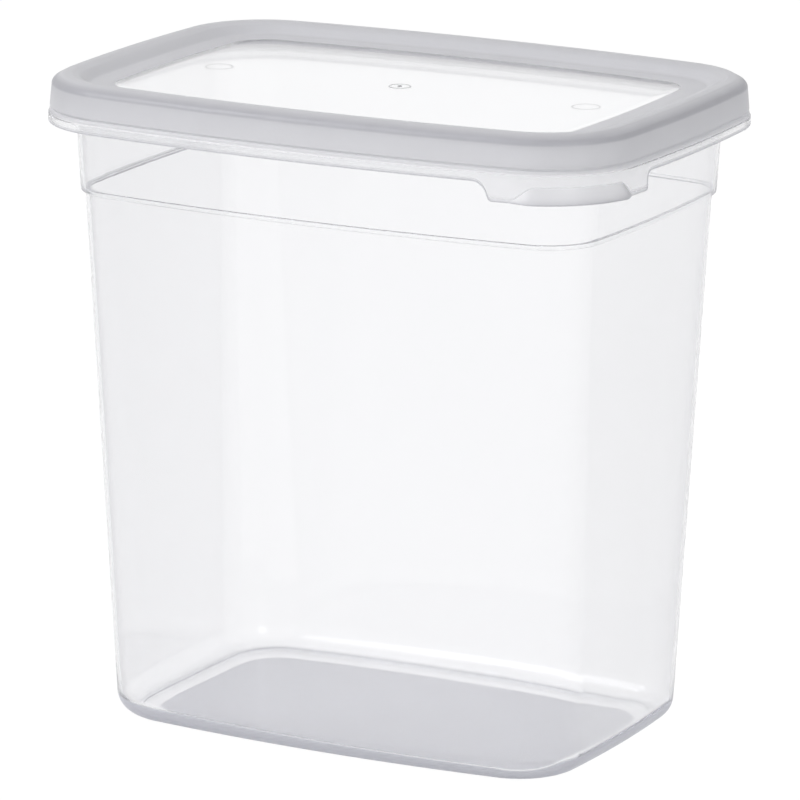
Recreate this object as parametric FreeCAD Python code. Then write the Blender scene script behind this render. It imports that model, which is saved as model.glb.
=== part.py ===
"""A tall see-through food storage tub with a press-on lid that has a pull tab at one corner."""
import math
import os

import FreeCAD
import Part

# Whole container, millimetres. X runs along the long side, Y along the short side, Z up from the ground.
overall_height = 203.4
half_length = 89.0
half_width = 60.1
tub_corner_radius = 18.0
lid_corner_radius = 20.5
long_side_turn = 6.1
short_side_turn = 3.9

# Tub body
wall = 1.2
step_below_top = 36.1
step_width = 1.4
step_edge_radius = 0.5
base_inset_length = 8.0
base_inset_width = 5.8
base_corner_radius = 22.5
base_edge_radius = 6.7
floor_thickness = 1.5
floor_raise = 1.0
foot_width = 14.0
foot_slope = 0.9

# Collar between the step and the rim
collar_lean = 0.06
collar_foot = 2.0
collar_top_below = 4.0

# Turned-over rim of the tub
rim_reach = 8.5
rim_drop = 9.4
rim_thickness = 1.2
seat_below_top = 1.2

# Lid
sheet = 1.2
panel_inset = 11.3
panel_below_top = 3.8
panel_lip = 0.5
lid_side = 9.8
lid_skirt = 10.7
skirt_depth = 14.5
skirt_thickness = 1.15
groove_below_top = 10.2
groove_depth = 0.5
band_below_top = 11.8
side_clearance = 0.4
snap_hook = 0.4

# Pull tab at the corner of the lid
tab_drop = 5.7
tab_start = 26.1
tab_start_lean = 2.1
tab_end = 29.8
tab_start_round = 5.0
tab_end_round = 2.5
tab_foot_round = 1.4
lip_reach = 2.3
lip_lean = 0.5
lip_first = -84.0
lip_last = -5.0
lip_fade_first = 16.0
lip_fade_last = 12.0
lip_sections = 15

# Moulding marks
gate_ring_radius = 3.3
eject_ring_radius = 4.2
eject_spacing = 63.4
mark_width = 0.45
mark_height = 0.15
gate_radius = 0.7
gate_height = 0.35

step_height = overall_height - step_below_top
tab_depth = skirt_depth + tab_drop


def outline(half_x, half_y, corner):
    """Eight arcs that meet smoothly: four gently bowed sides and four corners.

    Each arc is (centre x, centre y, radius, first angle, last angle), angles in degrees.
    """
    long_turn = math.radians(long_side_turn)
    short_turn = math.radians(short_side_turn)
    a1 = math.sin(long_turn)
    b1 = 1.0 - math.cos(short_turn)
    c1 = half_x + corner * math.sin(long_turn) - corner * math.cos(short_turn)
    a2 = 1.0 - math.cos(long_turn)
    b2 = math.sin(short_turn)
    c2 = half_y - corner * math.cos(long_turn) + corner * math.sin(short_turn)
    det = a1 * b2 - a2 * b1
    long_radius = (c1 * b2 - c2 * b1) / det
    short_radius = (a1 * c2 - a2 * c1) / det
    centre_x = (long_radius - corner) * math.sin(long_turn)
    centre_y = (short_radius - corner) * math.sin(short_turn)
    side_x = half_x - short_radius
    side_y = half_y - long_radius
    low = short_side_turn
    high = 90.0 - long_side_turn
    return [
        (side_x, 0.0, short_radius, -low, low),
        (centre_x, centre_y, corner, low, high),
        (0.0, side_y, long_radius, high, 180.0 - high),
        (-centre_x, centre_y, corner, 180.0 - high, 180.0 - low),
        (-side_x, 0.0, short_radius, 180.0 - low, 180.0 + low),
        (-centre_x, -centre_y, corner, 180.0 + low, 180.0 + high),
        (0.0, -side_y, long_radius, 180.0 + high, 360.0 - high),
        (centre_x, -centre_y, corner, 360.0 - high, 360.0 - low),
    ]


def grown(arcs, offset):
    """The same outline moved outwards by an even distance."""
    return [(x, y, radius + offset, first, last) for x, y, radius, first, last in arcs]


def on_arc(arc, angle, z):
    x, y, radius, first, last = arc
    turn = math.radians(angle)
    return FreeCAD.Vector(x + radius * math.cos(turn), y + radius * math.sin(turn), z)


def outline_wire(arcs, z):
    edges = []
    for arc in arcs:
        first = arc[3]
        last = arc[4]
        middle = (first + last) / 2.0
        curve = Part.Arc(on_arc(arc, first, z), on_arc(arc, middle, z), on_arc(arc, last, z))
        edges.append(curve.toShape())
    return Part.Wire(edges)


def drafted(lower, z_low, upper, z_high):
    """A solid with straight drafted sides between two outlines."""
    wires = [outline_wire(lower, z_low), outline_wire(upper, z_high)]
    return Part.makeLoft(wires, True, True)


def rounded_face(points, place):
    """A face from (across, up, round) corners. The place function puts a corner in space."""
    edges = []
    count = len(points)
    joints = []
    for index in range(count):
        x, z, radius = points[index]
        before = points[index - 1]
        after = points[(index + 1) % count]
        if radius <= 0.0:
            joints.append(((x, z), None, (x, z)))
            continue
        back = math.hypot(before[0] - x, before[1] - z)
        ahead = math.hypot(after[0] - x, after[1] - z)
        ux, uz = (before[0] - x) / back, (before[1] - z) / back
        vx, vz = (after[0] - x) / ahead, (after[1] - z) / ahead
        half = math.acos(max(-1.0, min(1.0, ux * vx + uz * vz))) / 2.0
        reach = radius / math.tan(half)
        deep = radius / math.sin(half) - radius
        size = math.hypot(ux + vx, uz + vz)
        mx, mz = (ux + vx) / size, (uz + vz) / size
        joints.append(
            ((x + ux * reach, z + uz * reach), (x + mx * deep, z + mz * deep), (x + vx * reach, z + vz * reach))
        )
    for index in range(count):
        enter, middle, leave = joints[index]
        if middle is not None:
            edges.append(Part.Arc(place(*enter), place(*middle), place(*leave)).toShape())
        following = joints[(index + 1) % count][0]
        if math.hypot(following[0] - leave[0], following[1] - leave[1]) > 1e-6:
            edges.append(Part.makeLine(place(*leave), place(*following)))
    return Part.Face(Part.Wire(edges))


def swept(points, arcs):
    """A profile of (outwards, up, round) corners taken all the way round an outline."""
    sectors = []
    for arc in arcs:
        x, y, radius, first, last = arc
        turn = math.radians(first)
        face = rounded_face(
            points,
            lambda out, up: FreeCAD.Vector(
                x + (radius + out) * math.cos(turn), y + (radius + out) * math.sin(turn), up
            ),
        )
        axis = FreeCAD.Vector(x, y, 0.0)
        sectors.append(face.revolve(axis, FreeCAD.Vector(0.0, 0.0, 1.0), last - first))
    return sectors[0].fuse(sectors[1:]).removeSplitter()


def body_outline(z):
    """Outside of the drafted body at one height, from the base up to the step."""
    share = z / step_height
    rest = 1.0 - share
    return outline(
        half_length - step_width * share - base_inset_length * rest,
        half_width - step_width * share - base_inset_width * rest,
        (tub_corner_radius - step_width) * share + base_corner_radius * rest,
    )


def collar_outline(z):
    reference = outline(half_length, half_width, tub_corner_radius)
    return grown(reference, collar_lean * (z - step_height))


def edges_at(shape, z):
    found = []
    for edge in shape.Edges:
        box = edge.BoundBox
        if abs(box.ZMin - z) < 1e-4 and abs(box.ZMax - z) < 1e-4:
            found.append(edge)
    return found


def drafted_body(inset, z_low, z_high, edge_radius):
    """The body from one height to another, moved inwards, with its bottom edge rounded."""
    lower = grown(body_outline(z_low), -inset)
    upper = grown(body_outline(z_high), -inset)
    block = drafted(lower, z_low, upper, z_high)
    return block.makeFillet(edge_radius, edges_at(block, z_low))


def make_shoulder():
    """The small step with a rounded edge where the body widens into the collar."""
    reference = outline(half_length, half_width, tub_corner_radius)
    lean = collar_lean * collar_foot
    points = [
        (-step_width - wall / 2.0, step_height, 0.0),
        (0.0, step_height, step_edge_radius),
        (lean, step_height + collar_foot, 0.0),
        (-step_width - wall / 2.0, step_height + collar_foot, 0.0),
    ]
    return swept(points, reference)


def make_collar():
    z_low = step_height + collar_foot
    z_high = overall_height - collar_top_below
    return drafted(collar_outline(z_low), z_low, collar_outline(z_high), z_high)


def make_rim():
    """The rim that turns outwards and down, which the lid sits on and snaps under."""
    top = overall_height - seat_below_top
    points = [
        (-0.5, top - 2.9, 0.0),
        (3.9, top, 1.5),
        (rim_reach - 2.4, top, 1.2),
        (rim_reach - 0.25, top - 2.0, 1.0),
        (rim_reach, overall_height - rim_drop, 0.0),
        (rim_reach - rim_thickness, overall_height - rim_drop, 0.0),
        (rim_reach - 0.25 - rim_thickness, top - 2.6, 0.8),
        (rim_reach - 2.9, top - rim_thickness, 0.8),
        (4.4, top - rim_thickness, 0.8),
        (2.7, top - 3.3, 0.6),
        (-0.5, top - 3.3, 0.0),
    ]
    return swept(points, outline(half_length, half_width, lid_corner_radius))


def make_cavity():
    """The free space inside the tub, with the shoulder repeated inside the wall."""
    shoulder = step_height + wall
    body = drafted_body(wall, floor_thickness, shoulder, base_edge_radius - wall)
    low = grown(collar_outline(shoulder), -wall)
    high = grown(collar_outline(overall_height), -wall)
    return body.fuse(drafted(low, shoulder, high, overall_height))


def raised_pad(inset, z_low):
    """The shallow rise of the floor inside the foot that the tub stands on."""
    base = body_outline(0.0)
    z_high = z_low + floor_raise
    return drafted(grown(base, -inset), z_low, grown(base, -inset - foot_slope), z_high)


def make_tub():
    shell = drafted_body(0.0, 0.0, step_height, base_edge_radius)
    bottom = make_shoulder()
    inside = grown(outline(half_length, half_width, tub_corner_radius), -step_width - wall / 2.0)
    core = drafted(inside, step_height, inside, step_height + collar_foot)
    shell = shell.fuse([bottom, core, make_collar(), make_rim()])
    tub = shell.cut(make_cavity())
    tub = tub.fuse(raised_pad(foot_width - floor_thickness, floor_thickness))
    tub = tub.cut(raised_pad(foot_width, 0.0))
    gate = Part.makeCylinder(gate_radius, gate_height, FreeCAD.Vector(0.0, 0.0, floor_raise - gate_height))
    return tub.fuse(gate).removeSplitter()


def lid_profile():
    """Section of the lid's border, from the panel over the ridge to the bottom of the skirt."""
    top = overall_height
    seat = top - sheet
    groove = top - groove_below_top
    band = top - band_below_top
    foot = top - skirt_depth
    inner = lid_skirt - skirt_thickness
    bead = rim_reach - snap_hook
    return [
        (-panel_inset - 2.0, top - panel_below_top, 0.0),
        (-panel_inset - 0.4, top - panel_below_top, 0.2),
        (-panel_inset, top - panel_below_top + panel_lip, 0.25),
        (-2.6, top - 3.1, 2.5),
        (1.0, top - 0.7, 3.0),
        (3.4, top, 2.0),
        (6.0, top, 2.0),
        (lid_side - 0.3, top - 1.9, 2.2),
        (lid_side + 0.4, groove + 0.7, 0.3),
        (lid_side + 0.4 - groove_depth, groove, 0.25),
        (lid_side + 0.5, groove - 0.6, 0.3),
        (lid_side + 0.6, band + 0.3, 0.2),
        (lid_skirt, band, 0.2),
        (lid_skirt, foot, 0.3),
        (inner, foot, 0.3),
        (inner, band - 0.3, 0.4),
        (inner - 0.2, groove - 0.6, 0.4),
        (bead, groove - 0.1, 0.3),
        (rim_reach + side_clearance + 0.15, groove + 0.9, 0.4),
        (rim_reach + side_clearance - 0.15, top - 3.0, 1.2),
        (rim_reach - 1.7, seat, 1.0),
        (3.6, seat, 1.0),
        (1.6, seat - 0.6, 1.5),
        (-1.8, top - 3.1 - sheet, 2.0),
        (-panel_inset - 2.0, top - panel_below_top - sheet, 0.0),
    ]


def make_panel():
    """The clear middle of the lid, a little lower than its border."""
    arcs = grown(outline(half_length, half_width, lid_corner_radius), -panel_inset - 2.0)
    wire = outline_wire(arcs, overall_height - panel_below_top - sheet)
    return Part.Face(wire).extrude(FreeCAD.Vector(0.0, 0.0, sheet))


def tab_window():
    """Outline of the pull tab seen from the long side and from the short side, as one block."""
    top = overall_height - skirt_depth
    over = top + 0.5
    foot = overall_height - tab_depth
    start = half_length - tab_start
    front = [
        (start - tab_start_round - 1.0, over, 0.0),
        (start - tab_start_round - 1.0, top, 0.0),
        (start, top, tab_start_round),
        (start + tab_start_lean, foot, tab_foot_round),
        (half_length + 30.0, foot, 0.0),
        (half_length + 30.0, over, 0.0),
    ]
    end = tab_end - half_width
    side = [
        (end + tab_end_round + 1.0, over, 0.0),
        (end + tab_end_round + 1.0, top, 0.0),
        (end, top, tab_end_round),
        (end, foot, 0.6),
        (-half_width - 30.0, foot, 0.0),
        (-half_width - 30.0, over, 0.0),
    ]
    front_face = rounded_face(front, lambda across, up: FreeCAD.Vector(across, -half_width - 30.0, up))
    side_face = rounded_face(side, lambda across, up: FreeCAD.Vector(0.0, across, up))
    front_block = front_face.extrude(FreeCAD.Vector(0.0, half_width + 20.0, 0.0))
    side_block = side_face.extrude(FreeCAD.Vector(half_length + 30.0, 0.0, 0.0))
    return front_block.common(side_block)


def tab_wall():
    points = [
        (lid_skirt - skirt_thickness, overall_height - tab_depth - 1.0, 0.0),
        (lid_skirt, overall_height - tab_depth - 1.0, 0.0),
        (lid_skirt, overall_height - skirt_depth + 0.4, 0.0),
        (lid_skirt - skirt_thickness, overall_height - skirt_depth + 0.4, 0.0),
    ]
    ring = swept(points, outline(half_length, half_width, lid_corner_radius))
    return ring.common(tab_window())


def smooth_step(share):
    share = max(0.0, min(1.0, share))
    return share * share * (3.0 - 2.0 * share)


def lip_width(angle):
    """How far the lip stands out of the tab at one angle round the corner."""
    first = smooth_step((angle - lip_first) / lip_fade_first)
    last = smooth_step((lip_last - angle) / lip_fade_last)
    return lip_reach * first * last - 0.3 * (1.0 - first * last)


def lip_wedge(shift, depth, drop):
    """A flaring wedge round the corner whose outer face leans out towards the bottom edge."""
    arcs = outline(half_length, half_width, lid_corner_radius)
    x, y, radius, first, last = arcs[7]
    foot = overall_height - tab_depth
    wires = []
    for index in range(lip_sections):
        angle = lip_first - 1.5 + (lip_last - lip_first + 3.0) * index / (lip_sections - 1.0)
        turn = math.radians(angle)
        width = lip_width(angle) - shift
        heel = -depth
        points = [
            (heel, foot + (width - heel) / lip_lean),
            (width + drop * lip_lean, foot - drop),
            (heel, foot - drop),
        ]
        corners = []
        for out, up in points:
            reach = radius + lid_skirt + out
            corners.append(FreeCAD.Vector(x + reach * math.cos(turn), y + reach * math.sin(turn), up))
        wires.append(Part.makePolygon(corners + corners[:1]))
    return Part.makeLoft(wires, True, False)


def make_tab():
    """The corner tab: the skirt carried down into a thin lip that flares out for a fingertip."""
    slant = skirt_thickness * math.sqrt(1.0 + lip_lean * lip_lean)
    solid = tab_wall().fuse(lip_wedge(0.0, skirt_thickness / 2.0, 0.0))
    return solid.cut(lip_wedge(slant, skirt_thickness + 0.5, 0.6))


def flat_ring(x, y, radius):
    z = overall_height - panel_below_top - 0.1
    place = FreeCAD.Vector(x, y, z)
    outer = Part.makeCylinder(radius, mark_height + 0.1, place)
    inner = Part.makeCylinder(radius - mark_width, mark_height + 0.1, place)
    return outer.cut(inner)


def make_marks():
    z = overall_height - panel_below_top - 0.1
    gate = Part.makeCylinder(gate_radius, gate_height + 0.1, FreeCAD.Vector(0.0, 0.0, z))
    rings = [
        flat_ring(0.0, 0.0, gate_ring_radius),
        flat_ring(-eject_spacing, 0.0, eject_ring_radius),
        flat_ring(eject_spacing, 0.0, eject_ring_radius),
    ]
    return [gate] + rings


def make_lid():
    border = swept(lid_profile(), outline(half_length, half_width, lid_corner_radius))
    lid = border.fuse([make_panel(), make_tab()] + make_marks())
    return lid.removeSplitter()


os.makedirs("parts", exist_ok=True)
make_tub().exportStep("parts/tub.step")
make_lid().exportStep("parts/lid.step")
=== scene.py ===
import math

import bpy
from bpy.props import FloatProperty, FloatVectorProperty, PointerProperty
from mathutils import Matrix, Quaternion, Vector


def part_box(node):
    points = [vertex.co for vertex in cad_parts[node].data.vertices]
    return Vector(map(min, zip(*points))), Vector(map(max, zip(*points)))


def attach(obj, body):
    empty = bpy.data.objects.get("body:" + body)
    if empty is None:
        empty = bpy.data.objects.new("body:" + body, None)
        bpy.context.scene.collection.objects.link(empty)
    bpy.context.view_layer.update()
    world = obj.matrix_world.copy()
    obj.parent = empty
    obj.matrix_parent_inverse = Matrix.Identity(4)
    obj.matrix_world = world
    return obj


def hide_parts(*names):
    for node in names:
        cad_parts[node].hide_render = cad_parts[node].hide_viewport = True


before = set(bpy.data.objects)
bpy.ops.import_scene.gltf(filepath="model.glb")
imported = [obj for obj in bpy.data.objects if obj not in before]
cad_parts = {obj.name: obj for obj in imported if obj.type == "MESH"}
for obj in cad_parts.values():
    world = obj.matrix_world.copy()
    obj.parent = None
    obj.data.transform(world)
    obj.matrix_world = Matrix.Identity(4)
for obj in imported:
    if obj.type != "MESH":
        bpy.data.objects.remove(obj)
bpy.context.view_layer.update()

bl_info = {
    "name": "Food Storage Container",
    "version": (1, 0, 0),
    "blender": (4, 5, 0),
    "location": "3D View > Sidebar > Container",
    "description": "A tall see-through storage tub with bowed sides, a press-on lid and a corner pull tab",
    "category": "Add Mesh",
}

LID_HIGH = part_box("lid")[1]
MM = 0.001
SKIRT_REACH = 10.7 * MM
PLASTIC_INDEX = 1.49
WHITE = (1.0, 1.0, 1.0, 1.0)
# Enough steps for light that passes both walls and runs along inside a thick rounded edge.
LIGHT_STEPS = 16
# How the rows of a flat middle shrink, from its edge to its one middle point.
TO_MIDDLE = (0.97, 0.85, 0.6, 0.3, 0.03, 0.0)
# What a row of a section carries besides its place: its shares of the way to the base and inner lines,
# of its reach from the middle, of the pull tab's drop, arch and lip, and of frost and painted shade.
SHARES = ("base", "inner", "shrink", "foot", "arch", "lip", "frost", "shade")


def length(name, description, default):
    return FloatProperty(
        name=name, description=description, default=default, min=0.0, unit="LENGTH", precision=5
    )


def turn(name, description, degrees):
    return FloatProperty(name=name, description=description, default=math.radians(degrees), subtype="ANGLE")


def share(name, description, default):
    return FloatProperty(
        name=name, description=description, default=default, min=0.0, max=1.0, subtype="FACTOR"
    )


def number(name, description, default):
    return FloatProperty(name=name, description=description, default=default, min=0.0)


def colour(name, description, default):
    return FloatVectorProperty(
        name=name, description=description, default=default, size=3, min=0.0, max=1.0, subtype="COLOR"
    )


class OutlineSizes(bpy.types.PropertyGroup):
    """The rounded, gently bowed outline seen from above."""

    half_length: length("Half length", "Middle to the collar's outside along X", LID_HIGH.x - SKIRT_REACH)
    half_width: length("Half width", "Middle to the collar's outside along Y", LID_HIGH.y - SKIRT_REACH)
    tub_corner: length("Tub corner", "Corner radius of the line the collar and rim follow", 18.0 * MM)
    lid_corner: length("Lid corner", "Corner radius of the line the lid follows", 20.5 * MM)
    base_corner: length("Base corner", "Corner radius at the foot of the drafted body", 22.5 * MM)
    frost_length: length("Frosted floor length", "Its middle to its edge along X", 69.5 * MM)
    frost_width: length("Frosted floor width", "Its middle to its edge along Y", 41.0 * MM)
    frost_corner: length("Frosted floor corner", "Corner radius of the frosted floor", 14.0 * MM)
    frost_along: length("Frosted floor along", "How far it sits off the middle towards +X", 2.8 * MM)
    frost_aside: length("Frosted floor aside", "How far it sits off the middle towards -Y", 4.6 * MM)
    panel_length: length("Panel length", "Its middle to its edge along X", 79.0 * MM)
    panel_width: length("Panel width", "Its middle to its edge along Y", 50.6 * MM)
    panel_corner: length("Panel corner", "Corner radius of the clear panel", 12.2 * MM)
    panel_along: length("Panel along", "How far it sits off the middle towards -X", 1.2 * MM)
    panel_aside: length("Panel aside", "How far it sits off the middle towards +Y", 1.0 * MM)
    long_turn: turn("Long side bow", "How far half of a long side turns", 6.1)
    short_turn: turn("Short side bow", "How far half of a short side turns", 3.9)
    corner_step: turn("Corner step", "Turn between two columns of the mesh in a corner", 2.0)


class TubSizes(bpy.types.PropertyGroup):
    """The tub's section."""

    wall: length("Wall", "Thickness of the wall", 1.2 * MM)
    step_height: length("Step height", "Where the body widens into the collar", LID_HIGH.z - 36.1 * MM)
    step_width: length("Step width", "How far the collar stands out over the body", 1.4 * MM)
    step_edge: length("Step edge", "Rounding of the step's edge", 0.5 * MM)
    inset_length: length("Base inset along X", "How far the body draws in along its length", 8.0 * MM)
    inset_width: length("Base inset along Y", "How far the body draws in across its width", 5.8 * MM)
    base_edge: length("Base edge", "Rounding where the wall meets the ground", 6.7 * MM)
    floor_edge: length("Floor edge", "Rounding inside, where the wall meets the floor", 6.5 * MM)
    floor: length("Floor", "Thickness of the floor", 1.3 * MM)
    floor_raise: length("Floor raise", "How far the middle of the floor stands up", 0.14 * MM)
    foot_width: length("Foot width", "Width of the flat foot round the underside", 7.5 * MM)
    # Painted shade: up to this height the foot is darkened to stand in for the shadowed ground seen through
    # the thick edge.
    foot_shade_band: length("Foot band", "Height of the bluish band round the foot", 5.8 * MM)
    lean: number("Collar lean", "Run outwards for each unit of height", 0.06)


class LidSizes(bpy.types.PropertyGroup):
    """The lid's section and its pull tab."""

    sheet: length("Sheet", "Thickness of the lid", 1.2 * MM)
    panel_below: length("Panel below top", "How far the panel lies under the border's ridge", 3.8 * MM)
    rim_reach: length("Rim reach", "How far the tub's rim stands out under the lid", 8.5 * MM)
    skirt: length("Skirt reach", "How far the skirt stands out", SKIRT_REACH)
    skirt_depth: length("Skirt depth", "Ridge of the lid to the bottom of the skirt", 14.5 * MM)
    skirt_thickness: length("Skirt thickness", "Thickness of the skirt", 1.15 * MM)
    groove_below: length("Groove below top", "Height of the groove under the ridge", 10.2 * MM)
    band_below: length("Band below top", "Height of the skirt's lower band under the ridge", 11.8 * MM)
    tab_drop: length("Tab drop", "How far the pull tab hangs under the skirt", 5.7 * MM)
    tab_start: length("Tab start", "Start of the tab, back from the half length", 26.1 * MM)
    tab_end: length("Tab end", "End of the tab, back from the half width", 29.8 * MM)
    lip_reach: length("Lip reach", "How far the tab's lip flares out", 2.3 * MM)
    lip_lean: number("Lip lean", "Run outwards for each unit of height", 0.5)


class MarkSizes(bpy.types.PropertyGroup):
    """Small marks left by moulding."""

    gate_ring: length("Gate ring", "Radius of the ring in the middle of the panel", 3.3 * MM)
    pin_ring: length("Pin ring", "Radius of the two ejector rings", 4.2 * MM)
    pin_spacing: length("Pin spacing", "Middle of the panel to an ejector ring", 63.4 * MM)
    mark_width: length("Mark width", "Width of a ring's line", 0.45 * MM)
    gate_line: length("Gate line", "Height of the middle ring's line", 0.1 * MM)
    pin_line: length("Pin line", "Height of an ejector ring's line", 0.03 * MM)
    gate_radius: length("Gate radius", "Radius of the small moulding gate", 0.7 * MM)
    gate_height: length("Gate height", "Height of the small moulding gate", 0.33 * MM)


class PlasticLooks(bpy.types.PropertyGroup):
    """Colours and haze of the plastic."""

    clear_tint: colour("Clear tint", "What the clear plastic lets through", (0.985, 0.985, 0.99))
    milk: colour("Milk", "The faint scatter in the clear plastic", (0.70, 0.70, 0.73))
    frost: colour("Frost", "The frosted plastic", (0.71, 0.71, 0.745))
    # Painted shade: this bluish grey on the rounded edge at the foot stands in for the shadowed ground seen
    # through it.
    foot_painted_shade: colour("Foot shade", "The rounded edge at the foot", (0.56, 0.565, 0.625))
    # Painted shade: this dark grey stands in for the shade where the lid's top rolls over to the side, and
    # for the dark line along the tab's lower edge.
    rim_painted_shade: colour("Rim shade", "The lid's upper edge", (0.46, 0.46, 0.50))
    depth_tint: colour("Depth tint", "The tint that grows with the plastic's thickness", (0.80, 0.82, 0.90))
    depth: number("Depth", "How fast that tint grows", 20.0)
    lamp_tint: colour("Lamp tint", "What the plastic lets through towards a lamp", (0.96, 0.96, 0.965))
    wall_haze: share("Wall haze", "Share of milk in a clear wall seen face on", 0.025)
    slant_haze: share("Slant haze", "How fast the milk grows as a wall turns away", 0.5)
    most_haze: share("Most haze", "Share of milk in a clear wall seen edge on", 0.28)
    # Painted shade: where the shade attribute is set, these add milk on surfaces turned away between edge
    # from and edge to, so that the shade colour shows there.
    shade_haze: share("Edge haze", "Share of milk in the rounded edge at the foot", 0.8)
    edge_from: share("Edge from", "How far the edge is turned away where its milk starts", 0.2)
    edge_to: share("Edge to", "How far the edge is turned away where its milk is full", 0.3)
    panel_haze: share("Panel haze", "Share of milk in the clear panel", 0.015)
    frost_share: share("Frost share", "Share of frost on the frosted areas", 0.74)
    clear_rough: share("Clear roughness", "Roughness of the clear plastic", 0.015)
    frost_rough: share("Frost roughness", "Roughness that frost adds to it", 0.5)
    milk_rough: share("Milk roughness", "Roughness of the milk and the frost", 0.32)
    milk_block: share("Milk block", "Share of a lamp's light that full milk holds back", 0.6)
    cloud_scale: number("Cloud scale", "Fineness of the widest unevenness", 9.0)
    mottle_scale: number("Mottle scale", "Fineness of the mottled frosting", 75.0)
    grain_scale: number("Grain scale", "Fineness of the frosted surface's grain", 900.0)
    grain_depth: length("Grain depth", "Depth of that grain", 0.2 * MM)


class StageLooks(bpy.types.PropertyGroup):
    """Floor, light and camera."""

    floor_colour: colour("Floor", "Colour of the floor", (0.9, 0.9, 0.9))
    floor_glow: share("Floor glow", "Share of the floor's white that is its own", 0.94)
    sky: number("Sky", "Strength of the even light from all round", 0.55)
    key: number("Key", "Key lamp, watts", 16.0)
    fill: number("Fill", "Fill lamp, watts", 5.0)
    lens: number("Lens", "Focal length in millimetres", 276.5)
    shift_right: share("Shift right", "Lens shift sideways, as a share of the sensor", 0.0032)
    shift_up: share("Shift up", "Lens shift upwards, as a share of the sensor", 0.0027)
    around: turn("Around", "Camera's turn from -Y towards +X", 27.7473)
    above: turn("Above", "Camera's angle over the level", 14.1019)
    roll: turn("Roll", "Camera's turn about its own line of sight", 0.4261)
    away: length("Away", "Camera to what it looks at", 1.9028)
    aim: length("Aim", "Height of what the camera and the lamps look at", 0.1)


# ---------------------------------------------------------------- outline

def outline(half_x, half_y, corner, sizes):
    """Eight arcs that meet smoothly: (centre x, centre y, radius, first angle, last angle), in degrees."""
    long_turn, short_turn = sizes.long_turn, sizes.short_turn
    a1, b1 = math.sin(long_turn), 1.0 - math.cos(short_turn)
    c1 = half_x + corner * math.sin(long_turn) - corner * math.cos(short_turn)
    a2, b2 = 1.0 - math.cos(long_turn), math.sin(short_turn)
    c2 = half_y - corner * math.cos(long_turn) + corner * math.sin(short_turn)
    det = a1 * b2 - a2 * b1
    long_radius = (c1 * b2 - c2 * b1) / det
    short_radius = (a1 * c2 - a2 * c1) / det
    x = (long_radius - corner) * math.sin(long_turn)
    y = (short_radius - corner) * math.sin(short_turn)
    side_x, side_y = half_x - short_radius, half_y - long_radius
    low, high = math.degrees(short_turn), 90.0 - math.degrees(long_turn)
    return [
        (side_x, 0.0, short_radius, -low, low),
        (x, y, corner, low, high),
        (0.0, side_y, long_radius, high, 180.0 - high),
        (-x, y, corner, 180.0 - high, 180.0 - low),
        (-side_x, 0.0, short_radius, 180.0 - low, 180.0 + low),
        (-x, -y, corner, 180.0 + low, 180.0 + high),
        (0.0, -side_y, long_radius, 180.0 + high, 360.0 - high),
        (x, -y, corner, 360.0 - high, 360.0 - low),
    ]


def point_at(arcs, angle, out=0.0):
    """The outline's point that faces the given angle."""
    low = arcs[0][3]
    angle = (angle - low) % 360.0 + low
    for x, y, radius, first, last in arcs:
        if angle <= last + 1e-9:
            turned = math.radians(angle)
            return Vector((x + (radius + out) * math.cos(turned), y + (radius + out) * math.sin(turned), 0.0))


def facing(arcs, out, axis, value, first, last):
    """The angle between first and last at which the outline's x or y passes the value."""
    rising = point_at(arcs, last, out)[axis] > point_at(arcs, first, out)[axis]
    for _ in range(40):
        middle = (first + last) / 2.0
        if (point_at(arcs, middle, out)[axis] < value) == rising:
            first = middle
        else:
            last = middle
    return (first + last) / 2.0


def column_angles(arcs, corner_step, extra=()):
    """Angles of the mesh's columns: close in the corners, wide on the bowed sides."""
    angles = set(round(a % 360.0, 5) for a in extra)
    for x, y, radius, first, last in arcs:
        count = math.ceil((last - first) / corner_step) if last - first > 30.0 else 14
        angles.update(round((first + (last - first) * i / count) % 360.0, 5) for i in range(count))
    ordered = sorted(angles)
    kept = [ordered[0]]
    for angle in ordered[1:]:
        if angle - kept[-1] > 0.002:
            kept.append(angle)
    return kept


# ---------------------------------------------------------------- sections

def smooth_step(part):
    """0 up to 0, 1 from 1, smooth in between."""
    part = max(0.0, min(1.0, part))
    return part * part * (3.0 - 2.0 * part)


class Section:
    """The rows of a section, in order along its line, each with its place and shares."""

    def __init__(self):
        self.rows = []

    def add(self, out, up, **shares):
        """A row out from the outline and up from the ground. Shares left out are 0, and shrink is 1."""
        row = {"out": out, "up": up, **dict.fromkeys(SHARES, 0.0), "shrink": 1.0, **shares}
        if not self.rows or any(abs(row[k] - self.rows[-1][k]) > 1e-7 for k in row):
            self.rows.append(row)


def rounded(points, step=15.0, guard=0.18):
    """Points along a line of (out, up, radius) corners, with close pairs that keep the flats flat."""
    line = [points[0][:2]]
    for before, corner, after in zip(points, points[1:], points[2:]):
        x, z, radius = corner
        back = math.hypot(before[0] - x, before[1] - z)
        ahead = math.hypot(after[0] - x, after[1] - z)
        ux, uz = (before[0] - x) / back, (before[1] - z) / back
        vx, vz = (after[0] - x) / ahead, (after[1] - z) / ahead
        half = math.acos(max(-1.0, min(1.0, ux * vx + uz * vz))) / 2.0
        reach = radius / math.tan(half)
        size = math.hypot(ux + vx, uz + vz)
        away = radius / math.sin(half) / size
        centre = (x + (ux + vx) * away, z + (uz + vz) * away)
        enter, leave = (x + ux * reach, z + uz * reach), (x + vx * reach, z + vz * reach)
        start = math.atan2(enter[1] - centre[1], enter[0] - centre[0])
        swing = math.atan2(leave[1] - centre[1], leave[0] - centre[0]) - start
        swing = (swing + math.pi) % (2.0 * math.pi) - math.pi
        count = max(2, math.ceil(abs(math.degrees(swing)) / step))
        if back - reach > 2.5 * guard * MM:
            line.append((enter[0] + ux * guard * MM, enter[1] + uz * guard * MM))
        for i in range(count + 1):
            angle = start + swing * i / count
            line.append((centre[0] + radius * math.cos(angle), centre[1] + radius * math.sin(angle)))
        if ahead - reach > 2.5 * guard * MM:
            line.append((leave[0] + vx * guard * MM, leave[1] + vz * guard * MM))
    line.append(points[-1][:2])
    return line


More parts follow.
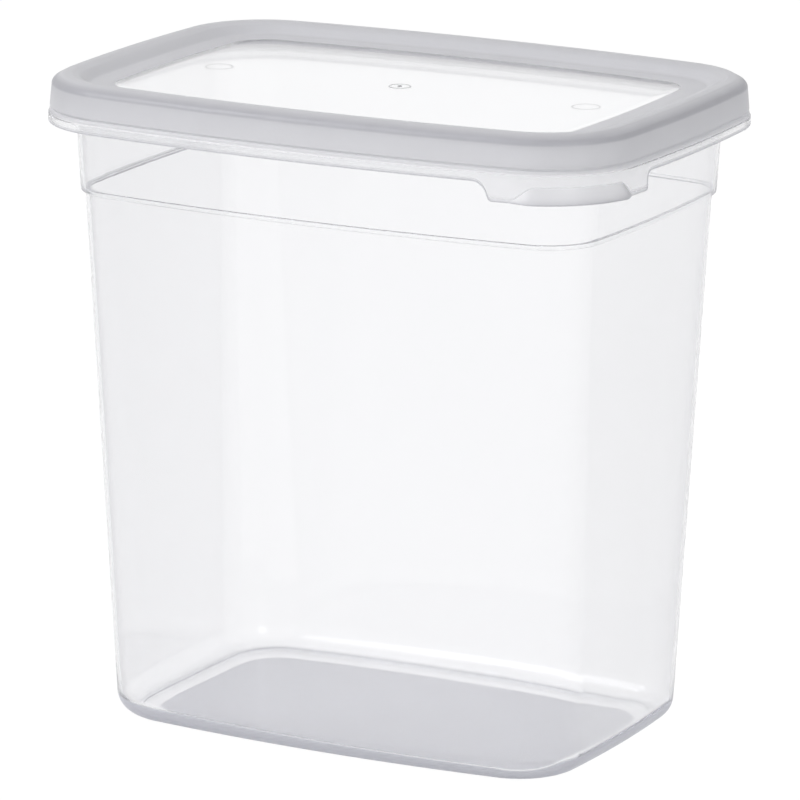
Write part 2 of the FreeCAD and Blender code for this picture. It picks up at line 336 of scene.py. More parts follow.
def tub_section(tub, lid, top):
    """From the middle of the underside, up the outside, over the rim and down to the middle of the floor."""
    section = Section()
    step, wall = tub.step_height, tub.wall
    seat = top - lid.sheet

    def body(out, up, shade=0.0):
        section.add(out - tub.step_width * up / step, up, base=1.0 - up / step, shade=shade)

    # The raised middle of the underside, and the small slope down to the foot.
    raised = tub.floor_raise
    # The frosted middle carries half painted shade: a darker tone that stands in for the shadowed ground
    # under the tub.
    for shrink in (0.0, 0.03, 0.3, 0.6, 0.85, 1.0):
        section.add(0.0, raised, inner=1.0, shrink=shrink, frost=1.0, shade=0.5)
    section.add(0.15 * MM, raised, inner=1.0)
    for out, up in ((-0.4, raised), (-0.2, raised * 0.9), (0.2, raised * 0.1), (0.4, 0.0)):
        section.add(out * MM - tub.foot_width, up, base=1.0)
    # Round the edge at the ground and up the drafted body, then out over the step.
    radius = tub.base_edge
    section.add(-radius - 0.3 * MM, 0.0, base=1.0)
    # Up to the foot band the rounded edge carries painted shade, for the shadowed ground seen through it.
    for i in range(13):
        angle = math.radians(90.0 * i / 12.0)
        up = radius * (1.0 - math.cos(angle))
        body(radius * (math.sin(angle) - 1.0), up, 1.0 - smooth_step((up - tub.foot_shade_band) / (0.9 * MM)))
    body(0.0, radius + 0.5 * MM)
    for i in range(1, 16):
        body(0.0, radius + (step - 1.2 * MM - radius) * i / 16.0)
    shoulder = rounded([(-tub.step_width, step - 1.2 * MM), (-tub.step_width, step, 0.3 * MM),
                        (0.0, step, tub.step_edge), (tub.lean * 2.0 * MM, step + 2.0 * MM)], 15.0, 0.1)
    for out, up in shoulder:
        section.add(out, up)
    # Up the collar, out under the flat, down and round the turned-down edge, and back in over the top.
    reach, rim_end = lid.rim_reach, top - 9.4 * MM
    rim = [
        (tub.lean * 2.0 * MM, step + 2.0 * MM, 0.0),
        (tub.lean * 25.0 * MM, seat - 9.0 * MM, 0.2 * MM),
        (tub.lean * (seat - 3.6 * MM - step), seat - 3.6 * MM, 0.25 * MM),
        (2.7 * MM, seat - 3.3 * MM, 0.4 * MM),
        (4.4 * MM, seat - 1.2 * MM, 0.8 * MM),
        (reach - 2.9 * MM, seat - 1.2 * MM, 0.8 * MM),
        (reach - 1.45 * MM, seat - 2.6 * MM, 0.8 * MM),
        (reach - 1.2 * MM, rim_end, 0.2 * MM),
        (reach, rim_end, 0.2 * MM),
        (reach - 0.25 * MM, seat - 2.0 * MM, 1.0 * MM),
        (reach - 2.4 * MM, seat, 1.2 * MM),
        (3.9 * MM, seat, 1.5 * MM),
        (0.8 * MM, seat - 2.4 * MM, 0.5 * MM),
        (tub.lean * 28.0 * MM - wall, seat - 7.0 * MM, 0.0),
    ]
    for out, up in rounded(rim):
        section.add(out, up)
    # Down the inside: the collar, the step, the body, and the rounding into the flat floor.
    inner = step + wall
    for i in range(1, 6):
        up = seat - 7.0 * MM + (inner + 1.0 * MM - seat + 7.0 * MM) * i / 5.0
        section.add(tub.lean * (up - step) - wall, up)
    ledge = rounded([(tub.lean * 2.2 * MM - wall, inner + 1.0 * MM), (-wall, inner, 0.3 * MM),
                     (-tub.step_width - wall, inner, 0.3 * MM),
                     (-tub.step_width - wall, inner - 1.0 * MM)], 15.0, 0.1)
    for out, up in ledge:
        section.add(out, up)
    inside = tub.floor_edge
    for i in range(1, 17):
        body(-wall, inner - 1.0 * MM + (tub.floor + inside - inner + 1.0 * MM) * i / 16.0)
    for i in range(1, 13):
        angle = math.radians(90.0 * i / 12.0)
        body(-wall - inside * (1.0 - math.cos(angle)), tub.floor + inside * (1.0 - math.sin(angle)))
    for shrink in TO_MIDDLE:
        section.add(-wall - inside, tub.floor, base=1.0, shrink=shrink)
    return section


def lid_section(lid, top):
    """From the middle of the panel's underside, round the skirt and over the ridge to the panel's middle."""
    section = Section()
    sheet = lid.sheet
    seat = top - sheet
    groove, band = top - lid.groove_below, top - lid.band_below
    inner = lid.skirt - lid.skirt_thickness
    edge_round = 0.3 * MM
    low = top - lid.skirt_depth + edge_round
    inside_start, outside_start = band - 1.2 * MM, band - 0.6 * MM
    bead = lid.rim_reach - 0.4 * MM
    panel = top - lid.panel_below
    # Under the panel, up under the border, over the rim, and down inside the skirt past the bead.
    for shrink in reversed(TO_MIDDLE):
        section.add(-1.0 * MM, panel - sheet, inner=1.0, shrink=shrink)
    section.add(-0.3 * MM, panel - sheet, inner=1.0)
    under = [
        (-5.5 * MM, panel - sheet),
        (-1.8 * MM, top - 3.1 * MM - sheet, 2.0 * MM),
        (1.6 * MM, seat - 0.6 * MM, 1.5 * MM),
        (3.6 * MM, seat, 1.0 * MM),
        (lid.rim_reach - 1.7 * MM, seat, 1.0 * MM),
        (lid.rim_reach + 0.25 * MM, top - 3.0 * MM, 1.2 * MM),
        (lid.rim_reach + 0.55 * MM, groove + 0.9 * MM, 0.4 * MM),
        (bead, groove - 0.1 * MM, 0.3 * MM),
        (inner - 0.2 * MM, groove - 0.6 * MM, 0.4 * MM),
        (inner, band - 0.3 * MM, 0.4 * MM),
        (inner, inside_start),
    ]
    for out, up in rounded(under):
        section.add(out, up)
    # Down to the skirt's bottom edge, out along the lip, round the edge, and back in and up outside.
    skirt_steps, lip_steps = 6, 8
    for i in range(1, skirt_steps + 1):
        part = i / skirt_steps
        section.add(inner, inside_start + (low - inside_start) * part, foot=part, arch=part)
    for i in range(1, lip_steps + 1):
        part = i / lip_steps
        section.add(inner, low, foot=1.0, arch=1.0 - part, lip=part)
    for i in range(1, 4):
        angle = math.radians(30.0 * i)
        section.add(inner + edge_round * (1.0 - math.cos(angle)), low - edge_round * math.sin(angle),
                    foot=1.0, lip=1.0, frost=1.0)
    for i in range(0, 4):
        angle = math.radians(30.0 * i)
        section.add(lid.skirt - edge_round * (1.0 - math.sin(angle)), low - edge_round * math.cos(angle),
                    foot=1.0, lip=1.0, frost=1.0)
    # The lip's lower edge, and the row just over it, carry painted shade: a dark line that fades upwards
    # along the lip.
    for part in (0.04, 0.15, 0.3, 0.45, 0.6, 0.75, 0.88, 0.97, 1.0):
        section.add(lid.skirt, low, foot=1.0, arch=part, lip=1.0 - part, frost=0.85 - 0.25 * part,
                    shade=max(0.1, 0.8 - 1.8 * part))
    section.add(lid.skirt, low + 0.12 * MM, foot=1.0, arch=1.0, frost=0.5, shade=0.5)
    for i in range(skirt_steps - 1, -1, -1):
        part = i / skirt_steps
        section.add(lid.skirt, outside_start + (low - outside_start) * part, foot=part, arch=part, frost=0.3)
    # Over the groove and the ridge, down the border's slope to the end of the frosting, and the panel.
    side, ridge = lid.skirt - 0.9 * MM, 6.0 * MM
    over = [
        (lid.skirt, outside_start),
        (lid.skirt, band, 0.2 * MM),
        (side + 0.6 * MM, band + 0.3 * MM, 0.2 * MM),
        (side + 0.5 * MM, groove - 0.6 * MM, 0.3 * MM),
        (side - 0.1 * MM, groove, 0.25 * MM),
        (side + 0.4 * MM, groove + 0.7 * MM, 0.3 * MM),
        (side - 0.3 * MM, top - 1.9 * MM, 2.2 * MM),
        (ridge, top, 2.0 * MM),
        (3.4 * MM, top, 2.0 * MM),
        (1.0 * MM, top - 0.7 * MM, 3.0 * MM),
        (-2.6 * MM, top - 3.1 * MM, 2.5 * MM),
        (-4.5 * MM, panel + 0.55 * MM),
    ]
    # The ridge's outer rounding carries painted shade: a dark band where the top rolls over to the side.
    for out, up in rounded(over, 12.0):
        full = smooth_step((up - band) / (1.0 * MM))
        above = smooth_step((up - top + 3.5 * MM) / (1.0 * MM))
        below = smooth_step((top - 0.3 * MM - up) / (1.2 * MM))
        section.add(out, up, frost=0.4 + 0.6 * full, shade=above * below if out > ridge else 0.0)
    slope_foot = ((0.8, 0.28, 1.0), (0.35, 0.13, 1.0), (0.1, 0.06, 0.8), (-0.1, 0.02, 0.3), (-0.4, 0.0, 0.0))
    for out, up, frost in slope_foot:
        section.add(out * MM, panel + up * MM, inner=1.0, frost=frost)
    for shrink in TO_MIDDLE:
        section.add(-1.0 * MM, panel, inner=1.0, shrink=shrink)
    return section


# ---------------------------------------------------------------- node helpers

class Number:
    """A socket on which plain arithmetic works, each step adding one Math node."""

    def __init__(self, maker, socket):
        self.maker = maker
        self.socket = socket

    def step(self, operation, *values):
        return self.maker.number("ShaderNodeMath", {"operation": operation}, dict(enumerate(values)))

    def __add__(self, other):
        return self.step("ADD", self, other)

    def __radd__(self, other):
        return self.step("ADD", other, self)

    def __sub__(self, other):
        return self.step("SUBTRACT", self, other)

    def __rsub__(self, other):
        return self.step("SUBTRACT", other, self)

    def __mul__(self, other):
        return self.step("MULTIPLY", self, other)

    def __rmul__(self, other):
        return self.step("MULTIPLY", other, self)

    def __truediv__(self, other):
        return self.step("DIVIDE", self, other)

    def __rtruediv__(self, other):
        return self.step("DIVIDE", other, self)

    def __mod__(self, other):
        return self.step("MODULO", self, other)

    def __rmod__(self, other):
        return self.step("MODULO", other, self)

    def floor(self):
        return self.step("FLOOR", self)

    def most(self, other):
        return self.step("MAXIMUM", self, other)

    def least(self, other):
        return self.step("MINIMUM", self, other)

    def between(self, low, high):
        """0 below low, 1 above high, smooth in between."""
        return self.maker.number("ShaderNodeMapRange", {"interpolation_type": "SMOOTHSTEP"}, {
            "Value": self, "From Min": low, "From Max": high})


class Maker:
    """Adds nodes to one tree: the type, its settings, then the values and links of its sockets.

    A list links several sockets into one.
    """

    def __init__(self, tree):
        self.tree = tree

    def node(self, kind, settings=None, sockets=None):
        made = self.tree.nodes.new(kind)
        for name, value in (settings or {}).items():
            setattr(made, name, value)
        for name, value in (sockets or {}).items():
            for item in value if isinstance(value, list) else [value]:
                self.fill(made.inputs[name], item)
        return made.outputs

    def fill(self, socket, value):
        if isinstance(value, Number):
            self.tree.links.new(value.socket, socket)
        elif isinstance(value, bpy.types.NodeSocket):
            self.tree.links.new(value, socket)
        else:
            socket.default_value = value

    def number(self, kind, settings=None, sockets=None, output=0):
        return Number(self, self.node(kind, settings, sockets)[output])

    def vector(self, operation, *values):
        return self.node("ShaderNodeVectorMath", {"operation": operation}, dict(enumerate(values)))[0]

    def scaled(self, vector, factor):
        return self.node("ShaderNodeVectorMath", {"operation": "SCALE"}, {0: vector, "Scale": factor})[0]

    def mixed(self, factor, first, second):
        """A colour between two, by a share."""
        return self.node("ShaderNodeMix", {"data_type": "RGBA"}, {"Factor": factor, 6: first, 7: second})[2]

    def noise(self, place, scale, detail):
        return self.number("ShaderNodeTexNoise", None, {"Vector": place, "Scale": scale, "Detail": detail})

    def seen_directly(self):
        """1 where the camera sees it, also through or off a surface, and 0 where it lights things."""
        path = self.node("ShaderNodeLightPath")
        straight = Number(self, path["Is Camera Ray"])
        return (straight + path["Is Glossy Ray"] + path["Is Transmission Ray"]).least(1.0)


# ---------------------------------------------------------------- geometry trees

def new_tree(name, inputs):
    """An empty Geometry Nodes tree with named inputs, each (name, socket type)."""
    tree = bpy.data.node_groups.new(name, "GeometryNodeTree")
    tree.is_modifier = True
    tree.interface.new_socket("Geometry", in_out="INPUT", socket_type="NodeSocketGeometry")
    for label, kind in inputs:
        tree.interface.new_socket(label, in_out="INPUT", socket_type=kind)
    tree.interface.new_socket("Geometry", in_out="OUTPUT", socket_type="NodeSocketGeometry")
    return tree


def close_tree(maker, geometry, material):
    """Ends a tree with smooth shading, real geometry and its material."""
    smooth = maker.node("GeometryNodeSetShadeSmooth", None, {"Geometry": geometry})[0]
    real = maker.node("GeometryNodeRealizeInstances", None, {"Geometry": smooth})[0]
    done = maker.node("GeometryNodeSetMaterial", None, {"Geometry": real, "Material": material})[0]
    maker.node("NodeGroupOutput", None, {"Geometry": done})


def sweep_tree():
    """Takes a section all the way round an outline, with the pull tab drawn down and flared at its corner."""
    tree = new_tree("Section Round Outline", [
        ("Outline", "NodeSocketObject"), ("Tab Drop", "NodeSocketFloat"), ("Lip Reach", "NodeSocketFloat"),
        ("Lip Lean", "NodeSocketFloat"), ("Plastic", "NodeSocketMaterial"),
    ])
    maker = Maker(tree)
    inputs = maker.node("NodeGroupInput")
    section = inputs["Geometry"]
    around = maker.node("GeometryNodeObjectInfo", None, {"Object": inputs["Outline"]})["Geometry"]
    rows = maker.number("GeometryNodeAttributeDomainSize", {"component": "MESH"}, {"Geometry": section})
    columns = maker.number("GeometryNodeAttributeDomainSize", {"component": "MESH"}, {"Geometry": around})
    grid = maker.node("GeometryNodeMeshGrid", None, {"Vertices X": columns + 1, "Vertices Y": rows})[0]
    index = maker.number("GeometryNodeInputIndex")
    row = index % rows
    column = ((index + 0.5) / rows).floor() % columns

    def sample(source, place, name, kind="FLOAT"):
        field = (
            maker.node("GeometryNodeInputPosition")[0] if name == "position"
            else maker.node("GeometryNodeInputNamedAttribute", {"data_type": kind}, {"Name": name})[0]
        )
        return maker.node(
            "GeometryNodeSampleIndex", {"data_type": kind, "domain": "POINT"},
            {"Geometry": source, "Value": field, "Index": place},
        )[0]

    def row_share(name):
        return Number(maker, sample(section, row, name))

    def column_share(name):
        return Number(maker, sample(around, column, name))

    place = maker.node("ShaderNodeSeparateXYZ", None, {0: sample(section, row, "position", "FLOAT_VECTOR")})
    out, up = Number(maker, place[0]), Number(maker, place[2])
    lip = column_share("lip") * inputs["Lip Reach"]
    arch = (lip / inputs["Lip Lean"]).most(0.6 * MM)
    reach = out + row_share("lip") * lip
    height = up - row_share("foot") * column_share("drop") * inputs["Tab Drop"] + row_share("arch") * arch
    line = sample(around, column, "position", "FLOAT_VECTOR")
    to_base = maker.scaled(sample(around, column, "to_base", "FLOAT_VECTOR"), row_share("base"))
    outwards = maker.scaled(sample(around, column, "outwards", "FLOAT_VECTOR"), reach)
    to_inner = maker.scaled(sample(around, column, "to_inner", "FLOAT_VECTOR"), row_share("inner"))
    moved_in = maker.vector("ADD", to_base, to_inner)
    moved_out = maker.vector("ADD", maker.vector("ADD", line, moved_in), outwards)
    flat = maker.scaled(moved_out, row_share("shrink"))
    rise = maker.node("ShaderNodeCombineXYZ", None, {"Z": height})[0]
    moved = maker.node("GeometryNodeSetPosition", None, {
        "Geometry": grid, "Position": maker.vector("ADD", flat, rise)})[0]
    for name in ("frost", "shade"):
        moved = maker.node(
            "GeometryNodeStoreNamedAttribute", {"data_type": "FLOAT", "domain": "POINT"},
            {"Geometry": moved, "Name": name, "Value": row_share(name)},
        )[0]
    merged = maker.node("GeometryNodeMergeByDistance", None, {"Geometry": moved, "Distance": 1e-6})[0]
    close_tree(maker, merged, inputs["Plastic"])
    return tree


def marks_tree():
    """Low moulded marks: a ring and a gate on the middle point, and a wider ring on each ejector point."""
    tree = new_tree("Moulding Marks", [
        ("Gate Ring", "NodeSocketFloat"), ("Pin Ring", "NodeSocketFloat"), ("Mark Width", "NodeSocketFloat"),
        ("Gate Line", "NodeSocketFloat"), ("Pin Line", "NodeSocketFloat"), ("Gate Radius", "NodeSocketFloat"),
        ("Gate Height", "NodeSocketFloat"), ("Plastic", "NodeSocketMaterial"),
    ])
    maker = Maker(tree)
    inputs = maker.node("NodeGroupInput")
    width = Number(maker, inputs["Mark Width"])
    pin = maker.number("GeometryNodeInputNamedAttribute", {"data_type": "FLOAT"}, {"Name": "pin"})

    def flattened(shape, share):
        scale = maker.node("ShaderNodeCombineXYZ", None, {"X": 1.0, "Y": 1.0, "Z": share})[0]
        return maker.node("GeometryNodeTransform", None, {"Geometry": shape, "Scale": scale})[0]

    def chosen(operation):
        return maker.number("FunctionNodeCompare", {"data_type": "FLOAT", "operation": operation}, {
            0: pin, 1: 0.5})

    def ring(radius, height):
        path, bead = (
            maker.node("GeometryNodeCurvePrimitiveCircle", None, {"Resolution": count, "Radius": size})[0]
            for count, size in ((64, radius), (12, width * 0.5))
        )
        swept = maker.node("GeometryNodeCurveToMesh", None, {"Curve": path, "Profile Curve": bead})[0]
        return flattened(swept, height / (width * 0.5))

    radius = Number(maker, inputs["Gate Radius"])
    ball = maker.node("GeometryNodeMeshUVSphere", None, {"Segments": 24, "Rings": 12, "Radius": radius})[0]
    gate = flattened(ball, Number(maker, inputs["Gate Height"]) / radius)
    points = maker.node("GeometryNodeMeshToPoints", None, {"Mesh": inputs["Geometry"]})[0]
    middle, outer = chosen("LESS_THAN"), chosen("GREATER_THAN")
    gate_ring = ring(inputs["Gate Ring"], Number(maker, inputs["Gate Line"]))
    pin_ring = ring(inputs["Pin Ring"], Number(maker, inputs["Pin Line"]))
    placed = [
        maker.node("GeometryNodeInstanceOnPoints", None, {
            "Points": points, "Selection": where, "Instance": shape})[0]
        for shape, where in ((gate_ring, middle), (gate, middle), (pin_ring, outer))
    ]
    joined = maker.node("GeometryNodeJoinGeometry", None, {0: placed})[0]
    close_tree(maker, joined, inputs["Plastic"])
    return tree


def strip(name, points, values):
    """A mesh of loose points, each with named numbers or vectors, for a tree to read."""
    mesh = bpy.data.meshes.new(name)
    mesh.from_pydata([tuple(p) for p in points], [], [])
    for label, column in values.items():
        vectors = hasattr(column[0], "__len__")
        layer = mesh.attributes.new(label, "FLOAT_VECTOR" if vectors else "FLOAT", "POINT")
        flat = [n for value in column for n in (value if vectors else (value,))]
        layer.data.foreach_set("vector" if vectors else "value", flat)
    made = bpy.data.objects.new(name, mesh)
    bpy.context.scene.collection.objects.link(made)
    return made


def grown_by(tree, source, values, name):
    """Runs a tree on the source object and keeps its result as a plain mesh object."""
    modifier = source.modifiers.new("Shape", "NODES")
    modifier.node_group = tree
    sockets = {s.name: s.identifier for s in tree.interface.items_tree if s.in_out == "INPUT"}
    for label, value in values.items():
        modifier[sockets[label]] = value
    bpy.context.view_layer.update()
    graph = bpy.context.evaluated_depsgraph_get()
    mesh = bpy.data.meshes.new_from_object(source.evaluated_get(graph), depsgraph=graph)
    source.modifiers.remove(modifier)
    piece = bpy.data.objects.new(name, mesh)
    mesh.name = name
    bpy.context.scene.collection.objects.link(piece)
    if len(mesh.polygons) == 0:
        raise RuntimeError(f"{name} came out empty")
    return piece


def drop(*objects):
    """Removes helper objects and their meshes."""
    for item in objects:
        mesh = item.data
        bpy.data.objects.remove(item)
        bpy.data.meshes.remove(mesh)


def sweep(name, material, section, angles, lines, aside, lid, drops=None, lips=None):
    """One piece from a section taken round the first line and drawn in to the base and inner lines.

    The inner line is moved aside. Drops and lips are the pull tab's shares at each angle.
    """
    line, base, inner = lines
    turned = [math.radians(a) for a in angles]
    outwards = [(math.cos(a), math.sin(a), 0.0) for a in turned]
    points = [point_at(line, a) for a in angles]
    to_base = [point_at(base, a) - p for a, p in zip(angles, points)]
    to_inner = [point_at(inner, a) + Vector(aside) - p for a, p in zip(angles, points)]
    around = strip("around", points, {
        "outwards": outwards, "to_base": [tuple(v) for v in to_base],
        "to_inner": [tuple(v) for v in to_inner],
        "drop": drops or [0.0] * len(angles), "lip": lips or [0.0] * len(angles)})
    rows = strip("section", [(r["out"], 0.0, r["up"]) for r in section.rows], {
        k: [r[k] for r in section.rows] for k in SHARES})
    made = grown_by(sweep_tree(), rows, {
        "Outline": around, "Tab Drop": lid.tab_drop, "Lip Reach": lid.lip_reach, "Lip Lean": lid.lip_lean,
        "Plastic": material}, name)
    drop(around, rows)
    return made


# ---------------------------------------------------------------- materials

def plastic(name, looks, haze, slant, shade):
    """Clear, slightly milky plastic, frosted and darkened by painted shade where the piece's attributes say
    so.
    """
    material = bpy.data.materials.new(name)
    material.use_nodes = True
    tree = material.node_tree
    tree.nodes.clear()
    maker = Maker(tree)
    place = maker.node("ShaderNodeTexCoord")["Object"]
    cloud = maker.noise(place, looks.cloud_scale, 3.0)
    mottle = maker.noise(place, looks.mottle_scale, 1.0)
    grain = maker.noise(place, looks.grain_scale, 0.0)
    frosted = maker.number("ShaderNodeAttribute", {"attribute_name": "frost"}, None, "Fac")
    shaded = maker.number("ShaderNodeAttribute", {"attribute_name": "shade"}, None, "Fac")
    turned = maker.number("ShaderNodeLayerWeight", None, {"Blend": 0.5}, "Facing")
    milky = (haze + (cloud - 0.5) * haze * 0.6 + turned * turned * slant).least(looks.most_haze)
    # Painted shade: where the shade attribute is set, milk is added on surfaces turned away, so the shade
    # colour shows.
    milky = milky + shaded * turned.between(looks.edge_from, looks.edge_to) * looks.shade_haze
    dense = frosted * (looks.frost_share + (cloud - 0.5) * 0.05 + (mottle - 0.5) * 0.14)
    amount = (milky * (1.0 - frosted) + dense).least(1.0).most(0.0)
    pits = maker.node("ShaderNodeBump", None, {
        "Strength": 0.25, "Distance": looks.grain_depth, "Height": grain})[0]
    clear = maker.node("ShaderNodeBsdfPrincipled", None, {
        "Base Color": (*looks.clear_tint, 1.0),
        "Roughness": looks.clear_rough + cloud * 0.03 + frosted * looks.frost_rough,
        "IOR": PLASTIC_INDEX, "Transmission Weight": 1.0})[0]
    plain = maker.mixed(frosted, (*looks.milk, 1.0), (*looks.frost, 1.0))
    # Painted shade mixes in the shade colour, together with a random mottle on the frost.
    painted_shade_and_mottle = (shaded + (mottle - 0.5) * frosted * 0.12).most(0.0)
    tone = maker.mixed(painted_shade_and_mottle, plain, (*shade, 1.0))
    milk = maker.node("ShaderNodeBsdfPrincipled", None, {
        "Base Color": tone, "Roughness": looks.milk_rough + grain * 0.1, "IOR": PLASTIC_INDEX,
        "Normal": pits})[0]
    body = maker.node("ShaderNodeMixShader", None, {"Fac": amount, 1: clear, 2: milk})[0]
    lamps = maker.number("ShaderNodeLightPath", None, None, "Is Shadow Ray")
    through = maker.node("ShaderNodeBsdfTransparent", None, {"Color": (*looks.lamp_tint, 1.0)})[0]
    passed = maker.node("ShaderNodeMixShader", None, {
        "Fac": lamps * (1.0 - amount * looks.milk_block), 1: body, 2: through})[0]
    depth = maker.node("ShaderNodeVolumeAbsorption", None, {
        "Color": (*looks.depth_tint, 1.0), "Density": looks.depth})[0]
    maker.node("ShaderNodeOutputMaterial", None, {"Surface": passed, "Volume": depth})
    return material


# ---------------------------------------------------------------- operators

class TUB_OT_body(bpy.types.Operator):
    """Make the tub: drafted body, step, collar, turned-down rim and raised floor"""

    bl_idname = "container.body"
    bl_label = "Tub"

    def execute(self, context):
        sizes, tub, lid, looks = (getattr(context.scene, n) for n in ("outline", "tub", "lid", "plastic"))
        collar = outline(sizes.half_length, sizes.half_width, sizes.tub_corner, sizes)
        base_length = sizes.half_length - tub.inset_length
        base_width = sizes.half_width - tub.inset_width
        base = outline(base_length, base_width, sizes.base_corner, sizes)
        floor = outline(sizes.frost_length, sizes.frost_width, sizes.frost_corner, sizes)
        angles = column_angles(collar, math.degrees(sizes.corner_step))
        material = plastic("Tub plastic", looks, looks.wall_haze, looks.slant_haze, looks.foot_painted_shade)
        made = sweep("tub_clear", material, tub_section(tub, lid, LID_HIGH.z), angles, (collar, base, floor),
                     (sizes.frost_along, -sizes.frost_aside, 0.0), lid)
        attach(made, "root")
        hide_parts("tub")
        return {"FINISHED"}


def lip_share(angle):
    """Share of the lip's reach at an angle round the tab's corner, in degrees."""
    begins, ends, swells_over, fades_over = -84.0, -5.0, 16.0, 12.0
    return smooth_step((angle - begins) / swells_over) * smooth_step((ends - angle) / fades_over)


def edge_line(start, lean, fall, first_round, second_round):
    """Heights of the tab's edge against distance along the side."""
    far = 40.0 * MM
    points = [(start - far, 0.0, 0.0), (start, 0.0, first_round), (start + lean, -fall, second_round),
              (start + far, -fall, 0.0)]
    return rounded(points, 6.0, 0.01)


def height_on(line, x):
    """Height of a line at a distance along it."""
    for (x1, z1), (x2, z2) in zip(line, line[1:]):
        if x1 <= x <= x2 and x2 > x1:
            return z1 + (z2 - z1) * (x - x1) / (x2 - x1)
    return line[0][1] if x < line[0][0] else line[-1][1]


class TUB_OT_lid(bpy.types.Operator):
    """Make the lid: clear panel, frosted border, grooved skirt and corner pull tab"""

    bl_idname = "container.lid"
    bl_label = "Lid"

    def execute(self, context):
        sizes, lid, looks = (getattr(context.scene, n) for n in ("outline", "lid", "plastic"))
        line = outline(sizes.half_length, sizes.half_width, sizes.lid_corner, sizes)
        start = sizes.half_length - lid.tab_start
        end = sizes.half_width - lid.tab_end
        front = edge_line(start, 2.1 * MM, lid.tab_drop, 5.0 * MM, 1.4 * MM)
        side = edge_line(end, 0.05 * MM, lid.tab_drop, 2.5 * MM, 0.6 * MM)
        slope_columns, side_columns = 44, 30
        extra = []
        for i in range(slope_columns):
            x = start - 4.5 * MM + 8.6 * MM * i / (slope_columns - 1)
            extra.append(facing(line, lid.skirt, 0, x, 270.0, 330.0))
        for i in range(side_columns):
            y = -end + 3.2 * MM - 4.3 * MM * i / (side_columns - 1)
            extra.append(facing(line, lid.skirt, 1, y, 330.0, 360.0))
        for past in (0.0, 0.02, 0.04, 0.06):
            extra.append(facing(line, lid.skirt, 1, -end - past * MM, 330.0, 360.0))
        angles = column_angles(line, math.degrees(sizes.corner_step), extra)
        drops, lips = [], []
        for angle in angles:
            spot = point_at(line, angle, lid.skirt)
            fall = 0.0
            if spot.x > 0.0 and spot.y < 0.0:
                fall = min(-height_on(front, spot.x), -height_on(side, -spot.y))
            drops.append(fall / lid.tab_drop)
            lips.append(lip_share(angle - 360.0) if angle > 180.0 else 0.0)
        panel = outline(sizes.panel_length, sizes.panel_width, sizes.panel_corner, sizes)
        material = plastic("Lid plastic", looks, looks.panel_haze, 0.0, looks.rim_painted_shade)
        made = sweep("lid_clear", material, lid_section(lid, LID_HIGH.z), angles, (line, line, panel),
                     (-sizes.panel_along, sizes.panel_aside, 0.0), lid, drops, lips)
        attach(made, "root")
        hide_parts("lid")
        return {"FINISHED"}


class TUB_OT_marks(bpy.types.Operator):
    """Make the small moulding marks on the lid's panel"""

    bl_idname = "container.marks"
    bl_label = "Moulding marks"

    def execute(self, context):
        marks, lid = context.scene.marks, context.scene.lid
        height = LID_HIGH.z - lid.panel_below
        places = [(x, 0.0, height) for x in (0.0, -marks.pin_spacing, marks.pin_spacing)]
        spots = strip("marks", places, {"pin": [0.0, 1.0, 1.0]})
        made = grown_by(marks_tree(), spots, {
            "Gate Ring": marks.gate_ring, "Pin Ring": marks.pin_ring, "Mark Width": marks.mark_width,
            "Gate Line": marks.gate_line, "Pin Line": marks.pin_line, "Gate Radius": marks.gate_radius,
            "Gate Height": marks.gate_height, "Plastic": bpy.data.materials["Lid plastic"]}, "lid_marks")
        drop(spots)
        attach(made, "root")
        return {"FINISHED"}


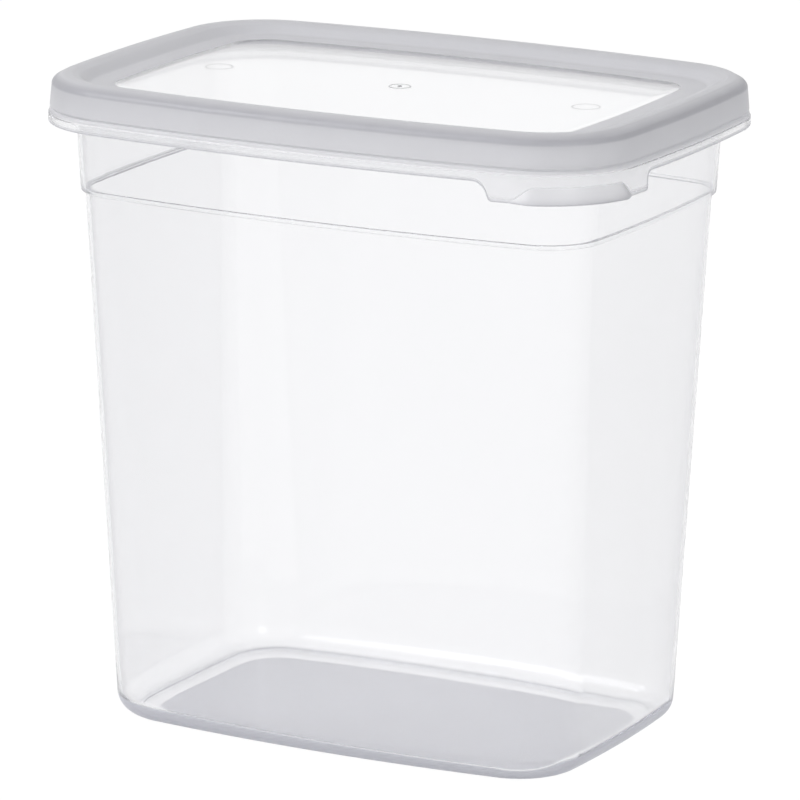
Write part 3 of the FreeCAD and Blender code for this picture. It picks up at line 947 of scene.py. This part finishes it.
class TUB_OT_stage(bpy.types.Operator):
    """Set the floor, the light and the camera"""

    bl_idname = "container.stage"
    bl_label = "Stage"

    def execute(self, context):
        scene, stage = context.scene, context.scene.stage
        scene.view_settings.view_transform = "Standard"
        scene.cycles.max_bounces = LIGHT_STEPS
        scene.cycles.transmission_bounces = LIGHT_STEPS
        scene.cycles.glossy_bounces = LIGHT_STEPS
        self.floor(scene, stage)
        self.sky(scene, stage)
        self.lamp(scene, stage, "key", stage.key, place=(-1.1, -1.0, 1.5), width=1.0, height=1.0)
        self.lamp(scene, stage, "fill", stage.fill, place=(1.4, -0.9, 1.0), width=0.5, height=1.4)
        self.camera(scene, stage)
        return {"FINISHED"}

    def floor(self, scene, stage):
        """A wide pale floor that keeps the shadow and looks white."""
        reach = 6.0
        corners = [(-reach, -reach, 0.0), (reach, -reach, 0.0), (reach, reach, 0.0), (-reach, reach, 0.0)]
        mesh = bpy.data.meshes.new("floor")
        mesh.from_pydata(corners, [], [(0, 1, 2, 3)])
        floor = bpy.data.objects.new("floor", mesh)
        scene.collection.objects.link(floor)
        material = bpy.data.materials.new("Floor")
        material.use_nodes = True
        material.node_tree.nodes.clear()
        maker = Maker(material.node_tree)
        rest = (1.0 - stage.floor_glow) * 2.0
        dimmed = tuple(c * rest for c in stage.floor_colour)
        card = maker.node("ShaderNodeBsdfDiffuse", None, {"Color": (*stage.floor_colour, 1.0)})[0]
        dim = maker.node("ShaderNodeBsdfDiffuse", None, {"Color": (*dimmed, 1.0)})[0]
        glow = maker.node("ShaderNodeEmission", None, {"Strength": stage.floor_glow})[0]
        white = maker.node("ShaderNodeAddShader", None, {0: dim, 1: glow})[0]
        both = maker.node("ShaderNodeMixShader", None, {"Fac": maker.seen_directly(), 1: card, 2: white})[0]
        maker.node("ShaderNodeOutputMaterial", None, {"Surface": both})
        mesh.materials.append(material)

    def sky(self, scene, stage):
        """Even light from all round. The background itself looks white."""
        world = bpy.data.worlds.new("Studio")
        scene.world = world
        world.use_nodes = True
        world.node_tree.nodes.clear()
        maker = Maker(world.node_tree)
        even = maker.node("ShaderNodeBackground", None, {"Color": WHITE, "Strength": stage.sky})[0]
        white = maker.node("ShaderNodeBackground", None, {"Color": WHITE, "Strength": 1.0})[0]
        both = maker.node("ShaderNodeMixShader", None, {"Fac": maker.seen_directly(), 1: even, 2: white})[0]
        maker.node("ShaderNodeOutputWorld", None, {"Surface": both})

    def lamp(self, scene, stage, name, power, place, width, height):
        """A soft rectangular lamp that faces the container."""
        light = bpy.data.lights.new(name, "AREA")
        light.shape = "RECTANGLE"
        light.size, light.size_y = width, height
        light.energy = power
        lamp = bpy.data.objects.new(name, light)
        lamp.location = place
        towards = Vector((0.0, 0.0, stage.aim)) - Vector(place)
        lamp.rotation_euler = towards.to_track_quat("-Z", "Y").to_euler()
        scene.collection.objects.link(lamp)

    def camera(self, scene, stage):
        """A long lens from above, on the side of the pull tab's corner."""
        data = bpy.data.cameras.new("camera")
        data.sensor_width = 36.0
        data.lens = stage.lens
        data.shift_x, data.shift_y = stage.shift_right, stage.shift_up
        data.clip_end = 50.0
        around, above = stage.around, stage.above
        side_on = Vector((math.sin(around), -math.cos(around), 0.0)) * math.cos(above)
        away = (side_on + Vector((0.0, 0.0, math.sin(above)))) * stage.away
        camera = bpy.data.objects.new("camera", data)
        camera.rotation_mode = "QUATERNION"
        camera.location = Vector((0.0, 0.0, stage.aim)) + away
        look = (-away).to_track_quat("-Z", "Y")
        camera.rotation_quaternion = look @ Quaternion((0.0, 0.0, 1.0), stage.roll)
        scene.collection.objects.link(camera)
        scene.camera = camera


class TUB_PT_panel(bpy.types.Panel):
    """Lists the steps that make the container"""

    bl_idname = "TUB_PT_panel"
    bl_label = "Food Storage Container"
    bl_space_type = "VIEW_3D"
    bl_region_type = "UI"
    bl_category = "Container"

    def draw(self, context):
        for operator in OPERATORS:
            self.layout.operator(operator.bl_idname)


GROUPS = {
    "outline": OutlineSizes, "tub": TubSizes, "lid": LidSizes, "marks": MarkSizes, "plastic": PlasticLooks,
    "stage": StageLooks,
}
OPERATORS = (TUB_OT_body, TUB_OT_lid, TUB_OT_marks, TUB_OT_stage)


def register():
    for group in GROUPS.values():
        bpy.utils.register_class(group)
    for item in (*OPERATORS, TUB_PT_panel):
        bpy.utils.register_class(item)
    for name, group in GROUPS.items():
        setattr(bpy.types.Scene, name, PointerProperty(type=group))


def unregister():
    for name in GROUPS:
        delattr(bpy.types.Scene, name)
    for item in (TUB_PT_panel, *reversed(OPERATORS), *GROUPS.values()):
        bpy.utils.unregister_class(item)


def main():
    register()
    for operator in OPERATORS:
        group, name = operator.bl_idname.split(".")
        getattr(getattr(bpy.ops, group), name)()


if __name__ == "__main__":
    main()
